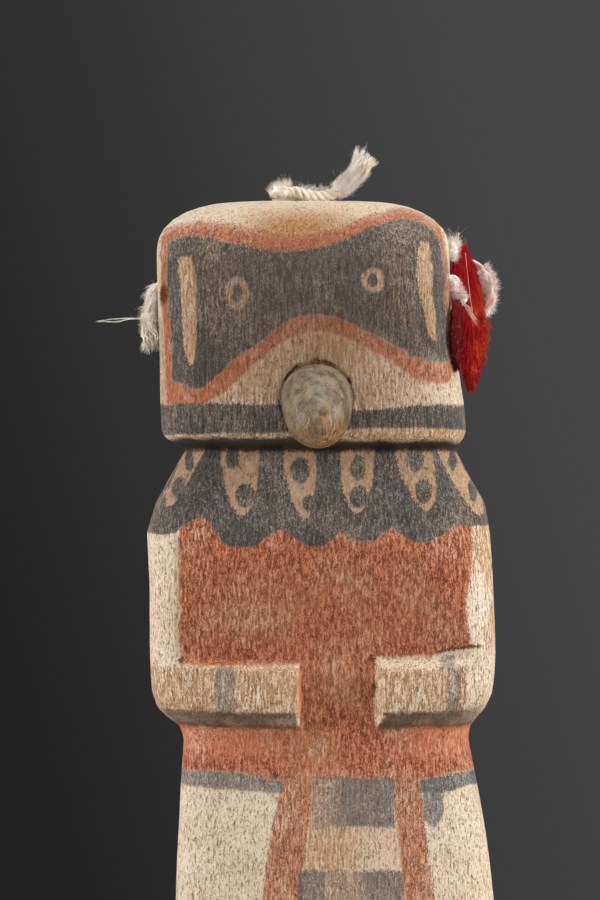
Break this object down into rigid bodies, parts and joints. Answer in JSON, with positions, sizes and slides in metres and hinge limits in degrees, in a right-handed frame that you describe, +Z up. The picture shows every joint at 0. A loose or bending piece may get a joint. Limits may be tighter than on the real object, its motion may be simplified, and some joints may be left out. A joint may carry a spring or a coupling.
{
  "type": "kachina doll",
  "caption": "Carved and painted wooden standing figure with a box-shaped head, a projecting beak, folded forearms, a long kilt, cotton cords and red feathers.",
  "frame": {"origin": "on the surface that the doll stands on, under the middle of the box around figure and beak", "axes": "+Z up to the crown; the figure faces -Y; +X is to the right of someone who looks at its face"},
  "size_m": [0.0691, 0.0519, 0.2097],
  "materials": {
    "painted_wood": "carved soft wood with matt mineral paints, cream, red ochre and dark grey, worn along the grain",
    "beak_wood": "small carved wooden beak, grey-olive, handled to a soft sheen, with brown stains",
    "cotton": "undyed twisted cotton twine, frayed and fuzzy",
    "dyed_feather": "small downy feathers dyed red, matt"
  },
  "bodies": {
    "root": {"carved_figure": "painted_wood", "beak": "beak_wood", "crown_cord": "cotton", "left_ear_yarn": "cotton", "right_ear_cord": "cotton", "red_feather_outer": "dyed_feather", "red_feather_inner": "dyed_feather"}
  },
  "joints": []
}
